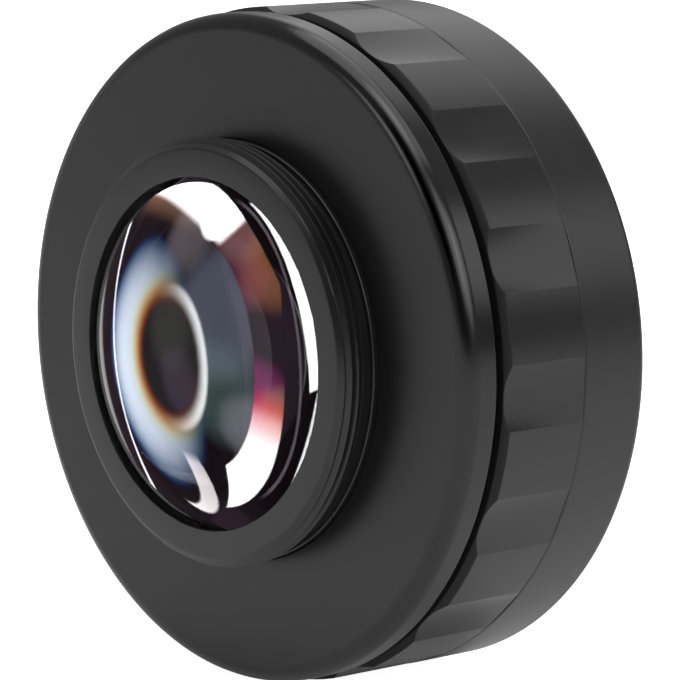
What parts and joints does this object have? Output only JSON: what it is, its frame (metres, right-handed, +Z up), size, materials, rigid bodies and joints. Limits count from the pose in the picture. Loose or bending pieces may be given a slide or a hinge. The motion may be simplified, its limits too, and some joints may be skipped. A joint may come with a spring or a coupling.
{
  "type": "wide angle conversion lens",
  "caption": "Screw-on wide-angle conversion lens: domed rear glass in a threaded boss, flat rear disc, scalloped grip ring and smooth front ring with a filter thread.",
  "frame": {"origin": "on the optical axis, in the middle of the rear screw thread's length", "axes": "+Y along the optical axis towards the front (scene side), -Y to the rear where the host lens is, +Z up, +X to the right seen from the rear"},
  "size_m": [0.0586, 0.029, 0.0586],
  "materials": {
    "anodised_black": "black anodised, satin",
    "grip_black": "black anodised, satin",
    "flat_black": "flat black paint",
    "seal_rubber": "matt black rubber",
    "rear_glass": "polished, coated",
    "inner_glass": "polished, coated",
    "front_glass": "polished, coated"
  },
  "bodies": {
    "rear_unit": {"rear_cell": "anodised_black", "rear_lens": "rear_glass", "rear_retaining_ring": "anodised_black", "rear_disc": "anodised_black"},
    "seal": {"joint_seal": "seal_rubber"},
    "front_unit": {"barrel": "anodised_black", "grip_ring": "grip_black", "glare_stop": "flat_black", "second_lens": "inner_glass", "lens_spacer": "flat_black", "front_lens": "front_glass", "front_lens_seal": "seal_rubber", "front_retaining_ring": "flat_black", "front_ring": "grip_black", "front_trim_ring": "anodised_black"}
  },
  "joints": [
    {"name": "unscrew_travel", "type": "slide", "parent": "rear_unit", "child": "seal", "axis": [0, 1, 0], "range_m": [0, 0.003]},
    {"name": "unscrew_turn", "type": "hinge", "parent": "seal", "child": "front_unit", "pos_m": [0, 0.0083, 0], "axis": [0, 1, 0], "range_deg": [0, 1440]}
  ],
  "couplings": [
    {"joint": "unscrew_travel", "follows": "unscrew_turn", "m_per_rad": 0.00011937}
  ]
}
